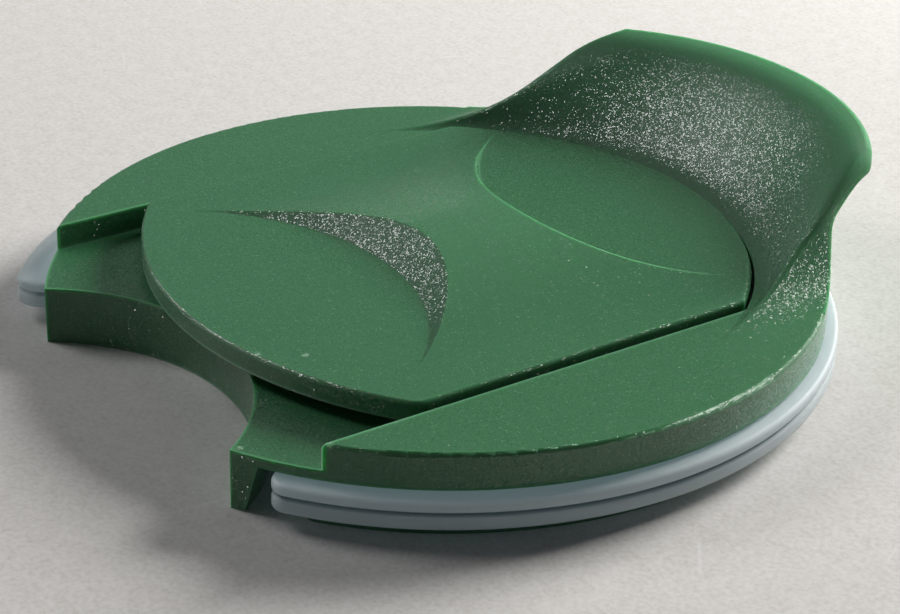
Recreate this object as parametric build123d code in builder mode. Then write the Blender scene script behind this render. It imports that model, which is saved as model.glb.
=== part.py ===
"""Push-in lid for a travel mug: moulded body with a thumb fin, sliding shutter and double-lip seal.

Millimetres. Z is up and Z = 0 is the bottom of the plug, which rests on a table. The origin is on the
axis of the round plug. The mouth notch faces -Y and the thumb fin stands at +Y. The shutter is modelled
fully back, with the mouth open.
"""
import math
import os

from build123d import *

os.makedirs("parts", exist_ok=True)

# Plate and plug
rim_radius = 45.0
rim_height = 4.2
plug_depth = 5.7
edge_round = 0.5
flange_inset = 1.0
flange_height = 1.2
groove_depth = 2.4
plug_wall = 1.6
plug_corner_round = 2.0

# Channel between the two raised lands
channel_depth = 3.0
land_breadth = 15.45
land_wall = 1.8
land_skin = 1.8

# Mouth notch and its skirt
notch_radius = 25.6
notch_setback = 9.1
skirt_wall = 1.7
skirt_draft = 1.8

# Thumb fin
fin_height = 12.0
fin_front = 5.0
fin_overhang = 9.0
fin_slope = 41.7
fin_lip_slope = 15.0
fin_foot_slope = 15.0
fin_foot_run = 2.4
fin_foot_blend = 5.5
fin_flare_blend = 9.5
fin_wall = 1.9
fin_foot_spread = 1.4
fin_lip_spread = 0.5
fin_wall_height = 8.7
fin_lip_radius = 34.3
fin_lip_width = 48.4
fin_ramp_run = 4.9
fin_corner_round = 8.0
fin_side_blend = 7.9
fin_back_blend = 4.0
fin_lip_round = 0.6

# Sliding shutter
slide_travel = 12.5
slider_side_gap = 0.6
slider_back_gap = 0.4
slider_thickness = 2.4
slider_proud = 0.85
slider_back_inset = 8.5
slider_back_centre = -0.5
slider_front_round = 2.5
slider_back_round = 9.0
slider_edge_round = 0.4
crown_height = 2.6
crown_side_margin = 3.45
crown_margin = 0.8
crown_wall = 1.8
front_scoop_radius = 29.0
front_scoop_edge = -7.1
front_scoop_run = 4.9
back_scoop_radius = 28.3
back_scoop_edge = 12.2
back_scoop_run = 1.5
pocket_width = 26.0
pocket_front = -1.0
pocket_back = 9.0

# Runners and snap legs under the shutter
runner_inset = 4.95
runner_width = 1.2
runner_length = 44.0
leg_spacing = 36.0
leg_thickness = 1.6
leg_length = 5.0
leg_centre = 6.0
leg_gap = 0.3
hook_reach = 1.1
hook_height = 1.5

# Seal
seal_fit = 0.05
seal_reach = 4.9
seal_band = 1.4
seal_notch_gap = 3.0
lip_bottom = 1.8
lower_lip_height = 1.8
lip_groove = 0.2
lip_groove_depth = 1.0
upper_lip_height = 1.45
lip_round = 0.5

# Heights and radii that follow
land_top = plug_depth + rim_height
channel_floor = land_top - channel_depth
channel_half = rim_radius - land_breadth
slider_half = channel_half - slider_side_gap
slider_back_radius = rim_radius - slider_back_inset
channel_back_radius = slider_back_radius + slider_back_gap
notch_centre = -(rim_radius + notch_setback)
plug_radius = rim_radius - flange_inset - groove_depth
plug_notch_radius = notch_radius + skirt_wall + seal_notch_gap + seal_reach
slider_top = land_top + slider_proud
slider_bottom = slider_top - slider_thickness
fin_base = land_top - 2 * edge_round
lip_y = rim_radius + fin_overhang
lip_z = land_top + fin_height
fin_top = lip_z + fin_wall / 2
through = 2 * rim_radius
loft_steps = 11


def plug_outline(outset):
    """Round outline of the plug, turned in behind the notch and moved outwards by outset."""
    with BuildSketch() as outline:
        Circle(plug_radius + outset)
        with Locations((0, notch_centre)):
            Circle(plug_notch_radius - outset, mode=Mode.SUBTRACT)
        fillet(outline.vertices().sort_by(Axis.Y)[:2], plug_corner_round)
    return outline.sketch


def channel_outline():
    """Channel seen from above: straight sides open to the front, with a round back."""
    corner = slider_back_centre + math.sqrt(channel_back_radius**2 - channel_half**2)
    back = slider_back_centre + channel_back_radius
    with BuildSketch() as outline:
        with BuildLine():
            ThreePointArc((-channel_half, corner), (0, back), (channel_half, corner))
            Polyline(
                (channel_half, corner),
                (channel_half, -rim_radius),
                (-channel_half, -rim_radius),
                (-channel_half, corner),
            )
        make_face()
    return outline.sketch


def thumb_face_line():
    """Line of the fin's thumb face over X = 0, from under the back of the channel to past the lip."""
    foot_slope = math.tan(math.radians(fin_foot_slope))
    slope = math.tan(math.radians(fin_slope))
    lip_slope = math.tan(math.radians(fin_lip_slope))
    foot_y = slider_back_centre + channel_back_radius
    knee_y = foot_y + fin_foot_run
    knee_z = foot_slope * fin_foot_run
    flare_y = (fin_height - knee_z + slope * knee_y - lip_slope * lip_y) / (slope - lip_slope)
    flare_z = knee_z + slope * (flare_y - knee_y)
    before_foot = 2 * (land_top - fin_base)
    past_lip = 2 * fin_wall
    with BuildLine(Plane.YZ) as line:
        FilletPolyline(
            (foot_y - before_foot, land_top - foot_slope * before_foot),
            (knee_y, land_top + knee_z),
            (flare_y, land_top + flare_z),
            (lip_y + past_lip, land_top + fin_height + lip_slope * past_lip),
            radius=(fin_foot_blend, fin_flare_blend),
        )
    return line.line


def stacked_discs(inset, foot_radius, lip_radius):
    """Loft of level discs whose backs follow the thumb face's line, moved behind it by inset."""
    line = thumb_face_line()
    with BuildPart() as stack:
        for step in range(loft_steps):
            share = step / (loft_steps - 1)
            along = line % share
            back_y = (line @ share).Y + inset * along.Z
            height = (line @ share).Z - inset * along.Y
            radius = foot_radius + (lip_radius - foot_radius) * share
            with BuildSketch(Plane.XY.offset(height)):
                with Locations((0, back_y - radius)):
                    Circle(radius)
        loft()
    return stack.part


def bell_bar(width, side_z, top_z, front, back):
    """Bar along Y whose top swells from side_z at its sides to top_z over X = 0."""
    with BuildPart() as bar:
        with BuildSketch(Plane.XZ.offset(-back)):
            with BuildLine():
                flank = Spline((width / 2, side_z), (0, top_z), tangents=[(-1, 0), (-1, 0)])
                Polyline(flank @ 0, (width / 2, slider_bottom), (0, slider_bottom))
                mirror(about=Plane.YZ)
            make_face()
        extrude(amount=back - front)
    return bar.part


def seal_ring(outset, bottom, height, rounding=0):
    """Ring of the seal between the plug's wall and outset, with its edges rounded."""
    with BuildPart() as ring:
        with BuildSketch(Plane.XY.offset(bottom)):
            add(plug_outline(outset))
        extrude(amount=height)
        if rounding:
            fillet(ring.edges().filter_by(Plane.XY), rounding)
        with BuildSketch(Plane.XY.offset(bottom)):
            add(plug_outline(seal_fit))
        extrude(amount=height, mode=Mode.SUBTRACT)
    return ring.part


# Thumb fin: the rim's wall carried up and leant back, hollowed by the thumb face and cut to its ramps
thumb_space = stacked_discs(0, channel_back_radius, fin_lip_radius)
fin_bulk = stacked_discs(fin_wall, channel_back_radius + fin_foot_spread, fin_lip_radius + fin_lip_spread)
ramp_angle = math.atan2(fin_height, fin_ramp_run)
ramp_foot = fin_lip_width / 2 + fin_ramp_run
ramp_end = ramp_foot + fin_side_blend * math.tan(ramp_angle / 2) + edge_round / 2
with BuildPart() as fin:
    with BuildSketch(Plane.XY.offset(fin_base)):
        Circle(rim_radius)
    extrude(amount=fin_wall_height)
    add(fin_bulk)
    with BuildSketch(Plane.XY.offset(fin_top)):
        with Locations((0, lip_y - fin_lip_radius)):
            Circle(fin_lip_radius)
    extrude(amount=-fin_wall)
    add(thumb_space, mode=Mode.SUBTRACT)
    with BuildSketch(Plane.XZ.offset(-fin_front)):
        with BuildLine():
            ramp = FilletPolyline(
                (0, fin_top),
                (ramp_foot - (fin_top - land_top) / math.tan(ramp_angle), fin_top),
                (ramp_foot, land_top),
                (ramp_end, land_top),
                radius=(fin_corner_round, fin_side_blend),
            )
            Polyline(ramp @ 1, (ramp_end, fin_base), (0, fin_base))
            mirror(about=Plane.YZ)
        make_face()
    extrude(amount=-through, mode=Mode.INTERSECT)
    with BuildSketch(Plane.XY.offset(fin_base)):
        with Locations((0, lip_y - fin_lip_radius)):
            Circle(fin_lip_radius)
        Circle(rim_radius)
    extrude(amount=through, mode=Mode.INTERSECT)
    middle_edges = [e for e in fin.edges() if abs(e.center().X) < 1]
    below_lip = [e for e in middle_edges if land_top + 1 < e.center().Z < land_top + fin_height / 2]
    fillet(below_lip, fin_back_blend)
    lip_face = fin.faces().sort_by(Axis.Y)[-1]
    thumb_face = fin.faces().filter_by(GeomType.BSPLINE).sort_by(SortBy.AREA)[-1]
    thumb_edges = [e for e in thumb_face.edges() if abs(e.center().X) > 1]
    side_edges = [e for e in thumb_edges if e.center().Z > land_top + edge_round]
    fillet(lip_face.edges() + side_edges, fin_lip_round)

# Skirt round the mouth notch, thicker towards the plate
skirt_foot = notch_radius + skirt_wall
with BuildPart() as skirt:
    with Locations((0, notch_centre)):
        Cone(
            skirt_foot,
            skirt_foot + skirt_draft,
            channel_floor,
            align=(Align.CENTER, Align.CENTER, Align.MIN),
        )
    with BuildSketch():
        Circle(rim_radius)
    extrude(amount=channel_floor, mode=Mode.INTERSECT)

# Lid body: round plate, hollow plug, channel, mouth notch and fin
slot_length = leg_length + slide_travel + 2 * leg_gap
with BuildPart() as lid_body:
    with BuildSketch(Plane.XY.offset(plug_depth)):
        Circle(rim_radius)
    extrude(amount=rim_height)
    fillet(lid_body.edges().group_by(Axis.Z)[-1], edge_round)
    add(fin.part)
    # Plug wall and its bottom flange, which make the seal's groove
    with BuildSketch():
        add(plug_outline(0))
    extrude(amount=plug_depth)
    with BuildSketch():
        add(plug_outline(groove_depth))
    extrude(amount=flange_height)
    with BuildSketch():
        add(plug_outline(-plug_wall))
    extrude(amount=plug_depth, mode=Mode.SUBTRACT)
    # Lands cored out from below to an even wall
    with BuildSketch():
        add(plug_outline(-plug_wall))
        Rectangle(2 * (channel_half + land_wall), through, mode=Mode.SUBTRACT)
    extrude(amount=land_top - land_skin, mode=Mode.SUBTRACT)
    # Channel for the shutter
    with BuildSketch(Plane.XY.offset(channel_floor)):
        add(channel_outline())
    extrude(amount=channel_depth + edge_round / 2, mode=Mode.SUBTRACT)
    # Mouth notch with the skirt that hangs round it
    add(skirt.part)
    with BuildSketch():
        with Locations((0, notch_centre)):
            Circle(notch_radius)
    extrude(amount=land_top, mode=Mode.SUBTRACT)
    # Slots in the floor for the shutter's snap legs
    with BuildSketch(Plane.XY.offset(plug_depth)):
        with Locations((0, leg_centre - slide_travel / 2)):
            with GridLocations(leg_spacing, 0, 2, 1):
                Rectangle(leg_thickness + 2 * leg_gap, slot_length)
    extrude(amount=channel_floor - plug_depth, mode=Mode.SUBTRACT)
lid_body.part.label = "lid_body"

# Seal: a band in the groove and two lips that press on the mug's wall, parted by a fine groove
lower_lip_top = lip_bottom + lower_lip_height
upper_lip_bottom = lower_lip_top + lip_groove
with BuildPart() as seal:
    add(seal_ring(seal_band, flange_height, plug_depth - flange_height))
    add(seal_ring(seal_reach, lip_bottom, lower_lip_height, lip_round))
    add(seal_ring(seal_reach, upper_lip_bottom, upper_lip_height, lip_round))
    add(seal_ring(seal_reach - lip_groove_depth, lower_lip_top, lip_groove))
seal.part.label = "seal"

# Shutter outline: straight sides, a front that follows the rim when closed, and a round back
slider_front = slide_travel - rim_radius
slider_back = slider_back_centre + slider_back_radius
front_corner = slide_travel - math.sqrt(rim_radius**2 - slider_half**2)
back_corner = slider_back_centre + math.sqrt(slider_back_radius**2 - slider_half**2)
with BuildSketch() as slider_outline:
    with BuildLine():
        ThreePointArc((-slider_half, front_corner), (0, slider_front), (slider_half, front_corner))
        Line((slider_half, front_corner), (slider_half, back_corner))
        ThreePointArc((slider_half, back_corner), (0, slider_back), (-slider_half, back_corner))
        Line((-slider_half, back_corner), (-slider_half, front_corner))
    make_face()
    corners = slider_outline.vertices().sort_by(Axis.Y)
    fillet(corners[:2], slider_front_round)
    fillet(corners[-2:], slider_back_round)
slider_plan = slider_outline.sketch

# Crown over the shutter's waist, with a finger scoop cut in front of it and one behind
crown_width = 2 * (slider_half - crown_side_margin)
with BuildPart() as crown:
    with BuildSketch(Plane.XY.offset(slider_bottom)):
        add(slider_plan)
        offset(amount=-crown_margin, mode=Mode.REPLACE)
    extrude(amount=slider_thickness + crown_height)
    add(bell_bar(crown_width, slider_top, slider_top + crown_height, -through, through), mode=Mode.INTERSECT)
    for scoop_y, scoop_radius, scoop_run in (
        (front_scoop_edge - front_scoop_radius, front_scoop_radius, front_scoop_run),
        (back_scoop_edge + back_scoop_radius, back_scoop_radius, back_scoop_run),
    ):
        with Locations((0, scoop_y, slider_top)):
            Cone(
                scoop_radius,
                scoop_radius + 2 * scoop_run,
                2 * crown_height,
                align=(Align.CENTER, Align.CENTER, Align.MIN),
                mode=Mode.SUBTRACT,
            )

# Shutter: plate and crown, hollow under the waist, on runners and held down by two snap legs
pocket_top = slider_top + crown_height - crown_wall
pocket_side = slider_top + crown_height / 2 - crown_wall
hook_top = plug_depth - leg_gap
with BuildPart() as slider:
    with BuildSketch(Plane.XY.offset(slider_bottom)):
        add(slider_plan)
    extrude(amount=slider_thickness)
    fillet(slider.edges().group_by(Axis.Z)[-1], slider_edge_round)
    add(crown.part)
    add(bell_bar(pocket_width, pocket_side, pocket_top, pocket_front, pocket_back), mode=Mode.SUBTRACT)
    with BuildSketch(Plane.XY.offset(channel_floor)):
        with GridLocations(2 * (slider_half - runner_inset), 0, 2, 1):
            Rectangle(runner_width, runner_length)
    extrude(amount=slider_bottom - channel_floor)
    with BuildSketch(Plane.XY.offset(hook_top - hook_height)):
        with Locations((0, leg_centre)):
            with GridLocations(leg_spacing, 0, 2, 1):
                Rectangle(leg_thickness, leg_length)
    extrude(amount=slider_bottom - hook_top + hook_height)
    with BuildSketch(Plane.XY.offset(hook_top - hook_height)):
        with Locations((0, leg_centre)):
            with GridLocations(leg_spacing + leg_thickness + hook_reach, 0, 2, 1):
                Rectangle(hook_reach, leg_length)
    extrude(amount=hook_height)
slider.part.label = "slider"

export_step(lid_body.part, "parts/lid_body.step")
export_step(seal.part, "parts/seal.step")
export_step(slider.part, "parts/slider.step")
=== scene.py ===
import math

import bpy
from mathutils import Matrix, Vector

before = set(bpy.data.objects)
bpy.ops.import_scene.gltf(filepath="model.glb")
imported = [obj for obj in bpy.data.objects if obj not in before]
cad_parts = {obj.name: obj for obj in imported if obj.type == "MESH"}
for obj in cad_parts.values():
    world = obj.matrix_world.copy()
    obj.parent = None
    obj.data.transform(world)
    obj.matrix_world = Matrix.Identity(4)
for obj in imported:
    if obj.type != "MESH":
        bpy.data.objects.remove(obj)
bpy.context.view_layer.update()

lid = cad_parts["lid_body"]
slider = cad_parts["slider"]
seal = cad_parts["seal"]

# Lengths and heights are in metres, and Z is 0 where the lid's plug rests on the table

# The camera as the photograph was taken, with angles in degrees, and lens and sensor in millimetres
CAMERA_AZIMUTH = 54.82
CAMERA_ELEVATION = 27.3
CAMERA_ROLL = 1.63
CAMERA_DISTANCE = 0.26576
CAMERA_TARGET = Vector((0.01166, -0.00619, 0.0099))
CAMERA_LENS = 96.0
SENSOR_WIDTH = 36.0
NEAREST_SEEN = 0.01

# The green resin's grain: spark erosion leaves pits about 0.04 mm across in the mould. They are too fine for
# a render that shows 0.11 mm to a pixel, so they are drawn 0.14 mm across.
SPARK_GRAIN = 0.00014
# A few pits in a hundred carry a pale speck, and this is how pale
SPECK_FROM = 0.96
SPECK_SHARE = 0.3
# How far the pits' walls lean in the gloss: most of them, and how much more the rare steep ones
PIT_LEAN = 0.5
PIT_LEAN_MOST = 0.9
PIT_RARITY = 5.0
# How far they lean in the soft light under the gloss
PIT_LEAN_SOFT = 0.04

# The resin's flow leaves faint clouds of colour about 11 mm across
FLOW_CLOUD = 0.011

# The light that the resin's thin edges carry: the width of an edge, the cosines of the turn over which it
# begins and is full, how much light is painted into its colour and how much it softens, and how much
# gloss is left on it
EDGE_ROUND = 0.001
EDGE_TURN_FROM = 0.985
EDGE_TURN_FULL = 0.8
EDGE_GLOW = 0.45
EDGE_SPREAD = 0.75
EDGE_GLOSS = 0.15

# Heights on the thumb fin over which its lip rolls over, and over which it thins: there the light that it
# lets through is painted into its colour as a lighter green
LIP_ROUND = 0.006
LIP_ROUND_FROM = 0.012
LIP_ROUND_FULL = 0.018
FIN_FROM = 0.0115
FIN_GLOW = 0.22
THIN_FROM = 0.0165
THIN_FULL = 0.0205
THIN_GLOW = 0.34

# Knocks that whitened the resin's edges, the radius of one, how many radii it fades over, and how white it is
LID_NICKS = [(0.0214, -0.0386, 0.0069), (0.03, -0.0332, 0.0098)]
SLIDER_NICKS = [(0.0113, -0.0306, 0.0107), (0.0141, -0.0264, 0.01075)]
NICK_RADIUS = 0.00035
NICK_FADE = 1.6
NICK_WHITENESS = 0.8

# The painted shade in the groove between the seal's lips: its height, its half width and where it has
# faded, and how dark it is
SEAL_PART = 0.0037
PART_DARK = 0.0001
PART_CLEAR = 0.00035
PART_SHADE = 0.25
# Painted light: the glow painted on each lip and the highlight painted along the top edge, and the heights
# over which one gives way to the next
LOWER_LIP_GLOW = 0.03
UPPER_LIP_GLOW = 0.075
LIP_CHANGE = 0.0002
EDGE_LINE_GLOW = 0.08
EDGE_LINE_FROM = 0.00475
EDGE_LINE_FULL = 0.00515
# The lips are milky out to one radius, and thin and clearer from the next
MILKY_RADIUS = 0.0463
CLEAR_RADIUS = 0.0485
MILKY_ALPHA = 0.93
CLEAR_ALPHA = 0.45
# The seal's skin ripples every 1.4 mm
SEAL_RIPPLE = 0.0014
RIPPLE_DEPTH = 0.00005

# The seal's flare: where it starts and is full, as angles from -Y in radians, how far it goes, and the
# radii between which the lips take it up
FLARE_FROM = -1.5
FLARE_FULL = -0.8
FLARE_OUT = 0.0026
FLARE_ROOT = 0.0425
FLARE_RIM = 0.0465

# The paper's clouds of 2.4 mm and its fibres. Real fibres are about 0.03 mm wide, too fine to show, so the
# fleck is drawn 0.6 mm wide.
PAPER_CLOUD = 0.0024
PAPER_FLECK = 0.0006
FLECK_DEPTH = 0.00004
CLOUD_FROM = 0.1
CLOUD_FULL = 0.45
# Rubbed lines 0.15 mm wide between cells of 36 mm, which show in patches of 15 mm
SCRATCH_WIDTH = 0.00015
SCRATCH_CELL = 0.0357
SCRATCH_PATCH = 0.0155
PATCH_FROM = 0.56
PATCH_FULL = 0.62
SCRATCH_SHARE = 0.5
FLOOR_REACH = 2.0

# Lamps stand this far off. One that shares another's place stands just behind it.
LAMP_DISTANCE = 0.7
TWIN_DISTANCE = 0.71

# The studio's walls as bounced light, and as the camera and reflections see them
WALLS_BOUNCED = 0.01
WALLS_SEEN = 0.13

# Colours that pieces share, and those of the finishes used once
# Painted light: the lighter green painted on the resin's edges and up the fin
PAINTED_THIN_RESIN_LIGHT = "#8FE0A8"
WHITENED_RESIN = "#B4D8BF"
MILKY_SILICONE = "#DFEAEE"
# Painted light: the glow on the seal's lips and the highlight along its top edge
LIT_SILICONE = "#B4CCD6"
# Painted shade: the dark grey-blue in the groove between the seal's lips
SHADED_SILICONE = "#5E7277"
PALE_PAPER = "#F4F2F0"
CLOUDED_PAPER = "#DFDCD8"
RUBBED_PAPER = "#FFFFFF"
BOUNCED_PAPER = "#B2B0AD"
PALE_WALLS = "#E6F0F4"
WARM_LAMP = "#FFFDFA"
WHITE_LAMP = "#FFFFFF"

# A Mix node's sockets by number, because those for vectors and for colours share their names
SHARE, VECTOR_A, VECTOR_B, COLOUR_A, COLOUR_B = 0, 4, 5, 6, 7
MIXED_VECTOR, MIXED_COLOUR = 1, 2


def linear(hex_colour):
    """An sRGB hex colour as the linear RGBA that a shader socket takes."""
    parts = [int(hex_colour[i : i + 2], 16) / 255 for i in (1, 3, 5)]
    return [p / 12.92 if p <= 0.04045 else ((p + 0.055) / 1.055) ** 2.4 for p in parts] + [1.0]


def direction(azimuth, elevation):
    """The way out from the object at angles in degrees: azimuth 0 is -Y, 90 is +X."""
    around, above = math.radians(azimuth), math.radians(elevation)
    return Vector((math.sin(around) * math.cos(above), -math.cos(around) * math.cos(above), math.sin(above)))


def add_node(tree, kind, settings=None, inputs=None):
    """Adds a node, sets its settings, and gives each input, by name or number, a value or a link."""
    made = tree.nodes.new(kind)
    for name, value in (settings or {}).items():
        setattr(made, name, value)
    for name, value in (inputs or {}).items():
        if isinstance(value, bpy.types.NodeSocket):
            tree.links.new(value, made.inputs[name])
        else:
            made.inputs[name].default_value = value
    return made


def new_material(name):
    """An empty node material and its tree."""
    material = bpy.data.materials.new(name)
    material.use_nodes = True
    material.node_tree.nodes.clear()
    return material, material.node_tree


def off_axis(tree, place):
    """The level way from the lid's axis to a place, and its length."""
    level = add_node(
        tree, "ShaderNodeVectorMath", {"operation": "MULTIPLY"}, {0: place, 1: (1.0, 1.0, 0.0)}
    ).outputs["Vector"]
    reach = add_node(tree, "ShaderNodeVectorMath", {"operation": "LENGTH"}, {0: level}).outputs["Value"]
    return level, reach


def leaning_normal(tree, normal, chance, slope):
    """A surface normal that leans by a random amount from one pit of the grain to the next."""
    centred = add_node(tree, "ShaderNodeVectorMath", {"operation": "SUBTRACT"}, {0: chance, 1: (0.5, 0.5, 0.5)})
    lean = add_node(
        tree, "ShaderNodeVectorMath", {"operation": "SCALE"}, {0: centred.outputs["Vector"], "Scale": slope}
    )
    leaning = add_node(
        tree, "ShaderNodeVectorMath", {"operation": "ADD"}, {0: normal, 1: lean.outputs["Vector"]}
    )
    made = add_node(tree, "ShaderNodeVectorMath", {"operation": "NORMALIZE"}, {0: leaning.outputs["Vector"]})
    return made.outputs["Vector"]


def moulded_polypropylene(name, colour, cloud_colour, nicks):
    """Coloured polypropylene moulded against spark-eroded steel: the steel's fine pits leave a matt grain
    that glitters where a light is near its mirror angle, and the resin lets a little light through, so thin
    edges look brighter and more saturated than the flats; on the edges and up the fin that light is also
    painted into the colour as a lighter green."""
    material, tree = new_material(name)
    place = add_node(tree, "ShaderNodeTexCoord").outputs["Object"]

    # The colour, clouded by the resin's flow
    flow = add_node(tree, "ShaderNodeTexNoise", inputs={"Vector": place, "Scale": 1 / FLOW_CLOUD, "Detail": 3.0})
    tint = add_node(
        tree,
        "ShaderNodeMix",
        {"data_type": "RGBA"},
        {SHARE: flow.outputs["Fac"], COLOUR_A: linear(colour), COLOUR_B: linear(cloud_colour)},
    ).outputs[MIXED_COLOUR]

    # The moulded roundings: a small one at each edge, and the wide roll of the fin's lip
    height = add_node(tree, "ShaderNodeSeparateXYZ", inputs={"Vector": place}).outputs["Z"]
    at_lip = add_node(
        tree,
        "ShaderNodeMapRange",
        inputs={"Value": height, "From Min": LIP_ROUND_FROM, "From Max": LIP_ROUND_FULL},
    ).outputs["Result"]
    radius = add_node(
        tree, "ShaderNodeMapRange", inputs={"Value": at_lip, "To Min": EDGE_ROUND, "To Max": LIP_ROUND}
    ).outputs["Result"]
    rounded = add_node(tree, "ShaderNodeBevel", {"samples": 8}, {"Radius": radius}).outputs["Normal"]
    straight = add_node(tree, "ShaderNodeNewGeometry").outputs["Normal"]
    turned = add_node(
        tree,
        "ShaderNodeMix",
        {"data_type": "VECTOR"},
        {SHARE: at_lip, VECTOR_A: straight, VECTOR_B: rounded},
    ).outputs[MIXED_VECTOR]
    agree = add_node(
        tree, "ShaderNodeVectorMath", {"operation": "DOT_PRODUCT"}, {0: rounded, 1: straight}
    ).outputs["Value"]
    edge = add_node(
        tree,
        "ShaderNodeMapRange",
        inputs={"Value": agree, "From Min": EDGE_TURN_FROM, "From Max": EDGE_TURN_FULL},
    ).outputs["Result"]

    # The grain: each pit leans its own way, and a few lean far enough to catch a light
    pits = add_node(tree, "ShaderNodeTexVoronoi", inputs={"Vector": place, "Scale": 1 / SPARK_GRAIN})
    chance = add_node(tree, "ShaderNodeSeparateColor", inputs={"Color": pits.outputs["Color"]})
    rare = add_node(
        tree, "ShaderNodeMath", {"operation": "POWER"}, {0: chance.outputs["Blue"], 1: PIT_RARITY}
    ).outputs[0]
    steep = add_node(
        tree, "ShaderNodeMath", {"operation": "MULTIPLY_ADD"}, {0: rare, 1: PIT_LEAN_MOST, 2: PIT_LEAN}
    ).outputs[0]
    glossy_normal = leaning_normal(tree, turned, pits.outputs["Color"], steep)
    speck = add_node(
        tree,
        "ShaderNodeMapRange",
        inputs={"Value": chance.outputs["Red"], "From Min": SPECK_FROM, "To Max": SPECK_SHARE},
    ).outputs["Result"]
    specked = add_node(
        tree,
        "ShaderNodeMix",
        {"data_type": "RGBA"},
        {SHARE: speck, COLOUR_A: tint, COLOUR_B: linear(WHITENED_RESIN)},
    ).outputs[MIXED_COLOUR]

    # An edge and the fin's lip are too narrow to hold a broad reflection, so little of the gloss stays there
    lip_gloss = add_node(
        tree,
        "ShaderNodeMapRange",
        inputs={
            "Value": height,
            "From Min": THIN_FROM,
            "From Max": THIN_FULL,
            "To Min": 1.0,
            "To Max": EDGE_GLOSS,
        },
    ).outputs["Result"]
    edge_gloss = add_node(
        tree, "ShaderNodeMapRange", inputs={"Value": edge, "To Min": 1.0, "To Max": EDGE_GLOSS}
    ).outputs["Result"]
    gloss = add_node(
        tree, "ShaderNodeMath", {"operation": "MULTIPLY"}, {0: edge_gloss, 1: lip_gloss}
    ).outputs[0]

    # Light spreads inside a thin edge, so its shade turns towards that of the flat above it
    edge_spread = add_node(
        tree, "ShaderNodeMapRange", inputs={"Value": at_lip, "To Min": EDGE_SPREAD, "To Max": 0.0}
    ).outputs["Result"]
    towards_flat = add_node(
        tree, "ShaderNodeMath", {"operation": "MULTIPLY"}, {0: edge, 1: edge_spread}
    ).outputs[0]
    spread = add_node(
        tree,
        "ShaderNodeMix",
        {"data_type": "VECTOR"},
        {SHARE: towards_flat, VECTOR_A: turned, VECTOR_B: (0.0, 0.0, 1.0)},
    ).outputs[MIXED_VECTOR]
    soft_normal = leaning_normal(tree, spread, pits.outputs["Color"], PIT_LEAN_SOFT)

    # Painted light: a lighter green painted along the edges and up the fin, for the light that thin resin lets
    # through
    edge_glow = add_node(
        tree, "ShaderNodeMapRange", inputs={"Value": at_lip, "To Min": EDGE_GLOW, "To Max": 0.0}
    ).outputs["Result"]
    low_edge = add_node(tree, "ShaderNodeMath", {"operation": "MULTIPLY"}, {0: edge, 1: edge_glow}).outputs[0]
    fin = add_node(
        tree,
        "ShaderNodeMapRange",
        inputs={"Value": height, "From Min": FIN_FROM, "From Max": THIN_FROM, "To Max": FIN_GLOW},
    ).outputs["Result"]
    lip = add_node(
        tree,
        "ShaderNodeMapRange",
        inputs={"Value": height, "From Min": THIN_FROM, "From Max": THIN_FULL, "To Max": THIN_GLOW},
    ).outputs["Result"]
    fin_painted_light = add_node(tree, "ShaderNodeMath", {"operation": "MAXIMUM"}, {0: fin, 1: lip}).outputs[0]
    painted_light_share = add_node(tree, "ShaderNodeMath", {"operation": "MAXIMUM"}, {0: low_edge, 1: fin_painted_light}).outputs[0]
    body_colour = add_node(
        tree,
        "ShaderNodeMix",
        {"data_type": "RGBA"},
        {SHARE: painted_light_share, COLOUR_A: specked, COLOUR_B: linear(PAINTED_THIN_RESIN_LIGHT)},
    ).outputs[MIXED_COLOUR]

    # Knocks: the resin goes white where an edge was struck
    for nick in nicks:
        away = add_node(tree, "ShaderNodeVectorMath", {"operation": "DISTANCE"}, {0: place, 1: nick})
        ragged = add_node(
            tree,
            "ShaderNodeMath",
            {"operation": "MULTIPLY_ADD"},
            {0: chance.outputs["Green"], 1: NICK_RADIUS, 2: away.outputs["Value"]},
        ).outputs[0]
        white = add_node(
            tree,
            "ShaderNodeMapRange",
            inputs={
                "Value": ragged,
                "From Min": NICK_RADIUS,
                "From Max": NICK_RADIUS * NICK_FADE,
                "To Min": NICK_WHITENESS,
                "To Max": 0.0,
            },
        ).outputs["Result"]
        body_colour = add_node(
            tree,
            "ShaderNodeMix",
            {"data_type": "RGBA"},
            {SHARE: white, COLOUR_A: body_colour, COLOUR_B: linear(WHITENED_RESIN)},
        ).outputs[MIXED_COLOUR]

    surface = add_node(
        tree,
        "ShaderNodeBsdfPrincipled",
        inputs={
            "Base Color": body_colour,
            "Roughness": 0.46,
            "IOR": 1.49,
            "Specular IOR Level": 0.25,
            "Subsurface Weight": 0.7,
            "Subsurface Radius": (0.35, 1.0, 0.45),
            "Subsurface Scale": 0.0014,
            "Normal": soft_normal,
            "Coat Weight": gloss,
            "Coat Roughness": 0.17,
            "Coat IOR": 1.49,
            "Coat Normal": glossy_normal,
        },
    )
    add_node(tree, "ShaderNodeOutputMaterial", inputs={"Surface": surface.outputs["BSDF"]})
    return material


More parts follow.
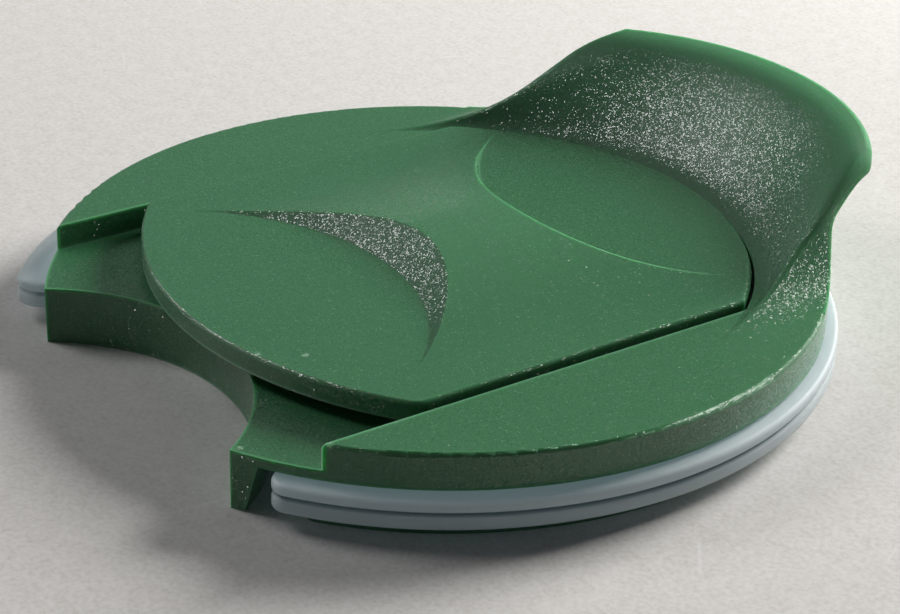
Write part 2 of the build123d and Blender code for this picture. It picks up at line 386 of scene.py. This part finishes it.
def moulded_silicone(name):
    """Unfilled silicone rubber moulded in a polished tool: milky and see-through at once, so it takes the
    grey-blue of its own haze in shade and almost vanishes against a pale floor. The light it carries round is
    painted on its lips as a faint glow with a highlight along the top edge, and shade is painted in the
    groove between the lips."""
    material, tree = new_material(name)
    place = add_node(tree, "ShaderNodeTexCoord").outputs["Object"]
    ripple = add_node(
        tree, "ShaderNodeTexNoise", inputs={"Vector": place, "Scale": 1 / SEAL_RIPPLE, "Detail": 2.0}
    )
    bump = add_node(
        tree,
        "ShaderNodeBump",
        inputs={"Height": ripple.outputs["Fac"], "Distance": RIPPLE_DEPTH, "Strength": 0.5},
    )
    height = add_node(tree, "ShaderNodeSeparateXYZ", inputs={"Vector": place}).outputs["Z"]

    # Painted shade: a dark line in the groove where the two lips part
    off_part = add_node(tree, "ShaderNodeMath", {"operation": "SUBTRACT"}, {0: height, 1: SEAL_PART}).outputs[0]
    from_part = add_node(tree, "ShaderNodeMath", {"operation": "ABSOLUTE"}, {0: off_part}).outputs[0]
    open_part = add_node(
        tree,
        "ShaderNodeMapRange",
        inputs={
            "Value": from_part,
            "From Min": PART_DARK,
            "From Max": PART_CLEAR,
            "To Min": PART_SHADE,
            "To Max": 1.0,
        },
    ).outputs["Result"]
    shaded = add_node(
        tree,
        "ShaderNodeMix",
        {"data_type": "RGBA"},
        {SHARE: open_part, COLOUR_A: linear(SHADED_SILICONE), COLOUR_B: linear(MILKY_SILICONE)},
    ).outputs[MIXED_COLOUR]

    # Painted light: a glow painted on each lip and a highlight painted along the top edge, for the light
    # carried round from the lit side
    lip_painted_glow = add_node(
        tree,
        "ShaderNodeMapRange",
        inputs={
            "Value": height,
            "From Min": SEAL_PART - LIP_CHANGE,
            "From Max": SEAL_PART + LIP_CHANGE,
            "To Min": LOWER_LIP_GLOW,
            "To Max": UPPER_LIP_GLOW,
        },
    ).outputs["Result"]
    top_edge_painted_highlight = add_node(
        tree,
        "ShaderNodeMapRange",
        inputs={
            "Value": height,
            "From Min": EDGE_LINE_FROM,
            "From Max": EDGE_LINE_FULL,
            "To Max": EDGE_LINE_GLOW,
        },
    ).outputs["Result"]
    painted_glow = add_node(tree, "ShaderNodeMath", {"operation": "ADD"}, {0: lip_painted_glow, 1: top_edge_painted_highlight}).outputs[0]
    glow = add_node(tree, "ShaderNodeMath", {"operation": "MULTIPLY"}, {0: painted_glow, 1: open_part}).outputs[0]

    # The thin outer edge of the lips lets more show through
    reach = off_axis(tree, place)[1]
    milky = add_node(
        tree,
        "ShaderNodeMapRange",
        inputs={
            "Value": reach,
            "From Min": MILKY_RADIUS,
            "From Max": CLEAR_RADIUS,
            "To Min": MILKY_ALPHA,
            "To Max": CLEAR_ALPHA,
        },
    ).outputs["Result"]
    surface = add_node(
        tree,
        "ShaderNodeBsdfPrincipled",
        inputs={
            "Base Color": shaded,
            "Roughness": 0.42,
            "IOR": 1.41,
            "Transmission Weight": 0.1,
            "Alpha": milky,
            "Subsurface Weight": 1.0,
            "Subsurface Radius": (1.0, 1.0, 1.0),
            "Subsurface Scale": 0.002,
            "Emission Color": linear(LIT_SILICONE),
            "Emission Strength": glow,
            "Normal": bump.outputs["Normal"],
        },
    )
    add_node(tree, "ShaderNodeOutputMaterial", inputs={"Surface": surface.outputs["BSDF"]})
    return material


def seen_share(tree):
    """1 for what the camera sees directly, in a reflection or through the object, and 0 for bounced light."""
    path = add_node(tree, "ShaderNodeLightPath")
    direct = add_node(
        tree,
        "ShaderNodeMath",
        {"operation": "ADD"},
        {0: path.outputs["Is Camera Ray"], 1: path.outputs["Is Glossy Ray"]},
    ).outputs[0]
    return add_node(
        tree,
        "ShaderNodeMath",
        {"operation": "ADD", "use_clamp": True},
        {0: direct, 1: path.outputs["Is Transmission Ray"]},
    ).outputs[0]


def coated_paper(name):
    """Pale matt background paper, rubbed and dusty from use: a faint mottle with a fine fleck."""
    material, tree = new_material(name)
    place = add_node(tree, "ShaderNodeTexCoord").outputs["Object"]
    mottle = add_node(
        tree,
        "ShaderNodeTexNoise",
        inputs={"Vector": place, "Scale": 1 / PAPER_CLOUD, "Detail": 6.0, "Roughness": 0.7},
    )
    fleck = add_node(
        tree, "ShaderNodeTexNoise", inputs={"Vector": place, "Scale": 1 / PAPER_FLECK, "Detail": 2.0}
    )
    both = add_node(
        tree, "ShaderNodeMath", {"operation": "MULTIPLY"}, {0: mottle.outputs["Fac"], 1: fleck.outputs["Fac"]}
    ).outputs[0]
    strong = add_node(
        tree, "ShaderNodeMapRange", inputs={"Value": both, "From Min": CLOUD_FROM, "From Max": CLOUD_FULL}
    ).outputs["Result"]
    tint = add_node(
        tree,
        "ShaderNodeMix",
        {"data_type": "RGBA"},
        {SHARE: strong, COLOUR_A: linear(PALE_PAPER), COLOUR_B: linear(CLOUDED_PAPER)},
    ).outputs[MIXED_COLOUR]

    # Fine rubbed lines, in patches
    cells = add_node(
        tree,
        "ShaderNodeTexVoronoi",
        {"feature": "DISTANCE_TO_EDGE"},
        {"Vector": place, "Scale": 1 / SCRATCH_CELL, "Randomness": 1.0},
    )
    patch = add_node(
        tree, "ShaderNodeTexNoise", inputs={"Vector": place, "Scale": 1 / SCRATCH_PATCH, "Detail": 1.0}
    )
    in_patch = add_node(
        tree,
        "ShaderNodeMapRange",
        inputs={
            "Value": patch.outputs["Fac"],
            "From Min": PATCH_FROM,
            "From Max": PATCH_FULL,
            "To Max": SCRATCH_SHARE,
        },
    ).outputs["Result"]
    line = add_node(
        tree,
        "ShaderNodeMapRange",
        inputs={
            "Value": cells.outputs["Distance"],
            "From Max": SCRATCH_WIDTH / SCRATCH_CELL,
            "To Min": 1.0,
            "To Max": 0.0,
        },
    ).outputs["Result"]
    scratch = add_node(tree, "ShaderNodeMath", {"operation": "MULTIPLY"}, {0: line, 1: in_patch}).outputs[0]
    rubbed = add_node(
        tree,
        "ShaderNodeMix",
        {"data_type": "RGBA"},
        {SHARE: scratch, COLOUR_A: tint, COLOUR_B: linear(RUBBED_PAPER)},
    ).outputs[MIXED_COLOUR]
    shown = add_node(
        tree,
        "ShaderNodeMix",
        {"data_type": "RGBA"},
        {SHARE: seen_share(tree), COLOUR_A: linear(BOUNCED_PAPER), COLOUR_B: rubbed},
    ).outputs[MIXED_COLOUR]
    bump = add_node(
        tree,
        "ShaderNodeBump",
        inputs={"Height": fleck.outputs["Fac"], "Distance": FLECK_DEPTH, "Strength": 0.4},
    )
    surface = add_node(
        tree,
        "ShaderNodeBsdfPrincipled",
        inputs={"Base Color": shown, "Roughness": 0.8, "Normal": bump.outputs["Normal"]},
    )
    add_node(tree, "ShaderNodeOutputMaterial", inputs={"Surface": surface.outputs["BSDF"]})
    return material


def assign(obj, material):
    """Gives every material slot of an object one material."""
    if not obj.material_slots:
        obj.data.materials.append(material)
    for place in obj.material_slots:
        place.material = material


def studio_light(name, azimuth, elevation, width, power, colour, distance=LAMP_DISTANCE):
    """A square soft lamp aimed at the object, placed by its direction in degrees."""
    data = bpy.data.lights.new(name, "AREA")
    data.shape = "SQUARE"
    data.size = width
    data.energy = power
    data.color = linear(colour)[:3]
    light = bpy.data.objects.new(name, data)
    bpy.context.scene.collection.objects.link(light)
    towards = direction(azimuth, elevation)
    light.location = towards * distance
    light.rotation_euler = towards.to_track_quat("Z", "Y").to_euler()
    return light


# The camera
camera_data = bpy.data.cameras.new("camera")
camera_data.lens = CAMERA_LENS
camera_data.sensor_width = SENSOR_WIDTH
camera_data.sensor_fit = "HORIZONTAL"
camera_data.clip_start = NEAREST_SEEN
camera = bpy.data.objects.new("camera", camera_data)
bpy.context.scene.collection.objects.link(camera)
bpy.context.scene.camera = camera
roll = math.radians(CAMERA_ROLL)
back = direction(CAMERA_AZIMUTH, CAMERA_ELEVATION)
right = Vector((0, 0, 1)).cross(back).normalized()
up = back.cross(right)
side = right * math.cos(roll) + up * math.sin(roll)
top = up * math.cos(roll) - right * math.sin(roll)
turned_camera = Matrix((side, top, back)).transposed().to_4x4()
camera.matrix_world = Matrix.Translation(CAMERA_TARGET + back * CAMERA_DISTANCE) @ turned_camera

# The object's materials
assign(lid, moulded_polypropylene("moulded_polypropylene_lid", "#458458", "#418155", LID_NICKS))
assign(slider, moulded_polypropylene("moulded_polypropylene_slider", "#448458", "#408155", SLIDER_NICKS))
assign(seal, moulded_silicone("moulded_silicone_seal"))

# The seal's free end springs outward while the lid is off its mug
flare = bpy.data.node_groups.new("seal_flare", "GeometryNodeTree")
flare.interface.new_socket("Geometry", in_out="INPUT", socket_type="NodeSocketGeometry")
flare.interface.new_socket("Geometry", in_out="OUTPUT", socket_type="NodeSocketGeometry")
flare_in = add_node(flare, "NodeGroupInput").outputs["Geometry"]
spot = add_node(flare, "GeometryNodeInputPosition").outputs["Position"]
split = add_node(flare, "ShaderNodeSeparateXYZ", inputs={"Vector": spot})
forward = add_node(
    flare, "ShaderNodeMath", {"operation": "MULTIPLY"}, {0: split.outputs["Y"], 1: -1.0}
).outputs[0]
turn = add_node(
    flare, "ShaderNodeMath", {"operation": "ARCTAN2"}, {0: split.outputs["X"], 1: forward}
).outputs[0]
along = add_node(
    flare,
    "ShaderNodeMapRange",
    inputs={"Value": turn, "From Min": FLARE_FROM, "From Max": FLARE_FULL, "To Max": FLARE_OUT},
).outputs["Result"]
left = add_node(
    flare, "ShaderNodeMath", {"operation": "LESS_THAN"}, {0: split.outputs["X"], 1: 0.0}
).outputs[0]
level, reach = off_axis(flare, spot)
outer = add_node(
    flare, "ShaderNodeMapRange", inputs={"Value": reach, "From Min": FLARE_ROOT, "From Max": FLARE_RIM}
).outputs["Result"]
on_left = add_node(flare, "ShaderNodeMath", {"operation": "MULTIPLY"}, {0: along, 1: left}).outputs[0]
amount = add_node(flare, "ShaderNodeMath", {"operation": "MULTIPLY"}, {0: on_left, 1: outer}).outputs[0]
outward = add_node(flare, "ShaderNodeVectorMath", {"operation": "NORMALIZE"}, {0: level}).outputs["Vector"]
push = add_node(
    flare, "ShaderNodeVectorMath", {"operation": "SCALE"}, {0: outward, "Scale": amount}
).outputs["Vector"]
moved = add_node(flare, "GeometryNodeSetPosition", inputs={"Geometry": flare_in, "Offset": push})
add_node(flare, "NodeGroupOutput", inputs={"Geometry": moved.outputs["Geometry"]})
seal.modifiers.new("seal_flare", "NODES").node_group = flare

# Floor
floor_corners = [(x * FLOOR_REACH, y * FLOOR_REACH, 0) for x, y in ((-1, -1), (1, -1), (1, 1), (-1, 1))]
floor_mesh = bpy.data.meshes.new("paper_floor")
floor_mesh.from_pydata(floor_corners, [], [(0, 1, 2, 3)])
floor = bpy.data.objects.new("paper_floor", floor_mesh)
bpy.context.scene.collection.objects.link(floor)
floor.data.materials.append(coated_paper("coated_paper"))

# Soft light low behind the lid, in two lamps of which one leaves no reflection
studio_light("key", 184, 24, 0.3, 2.0, WARM_LAMP)
broad = studio_light("key_broad", 184, 24, 0.3, 6.0, WARM_LAMP, TWIN_DISTANCE)
broad.visible_glossy = False
# Light from the lid's far left that the grain catches, in two lamps of which one only shows in the gloss
studio_light("glint", 302, 42, 0.26, 1.05, WHITE_LAMP)
gloss_only = studio_light("glint_gloss", 302, 42, 0.26, 1.3, WHITE_LAMP, TWIN_DISTANCE)
gloss_only.visible_diffuse = False
# A faint sheen from the far side, and a little fill from the front and the right
studio_light("sheen", 240, 45, 0.4, 0.12, WARM_LAMP)
studio_light("fill", 335, 12, 0.3, 0.2, WHITE_LAMP)
studio_light("right", 140, 14, 0.3, 0.12, WHITE_LAMP)

# Pale walls all round, which the camera and the gloss see, and which add almost no light of their own
world = bpy.data.worlds.new("studio")
bpy.context.scene.world = world
world.use_nodes = True
world.node_tree.nodes.clear()
brightness = add_node(
    world.node_tree,
    "ShaderNodeMapRange",
    inputs={"Value": seen_share(world.node_tree), "To Min": WALLS_BOUNCED, "To Max": WALLS_SEEN},
).outputs["Result"]
walls = add_node(
    world.node_tree, "ShaderNodeBackground", inputs={"Color": linear(PALE_WALLS), "Strength": brightness}
)
add_node(world.node_tree, "ShaderNodeOutputWorld", inputs={"Surface": walls.outputs["Background"]})

bpy.context.scene.view_settings.view_transform = "Standard"
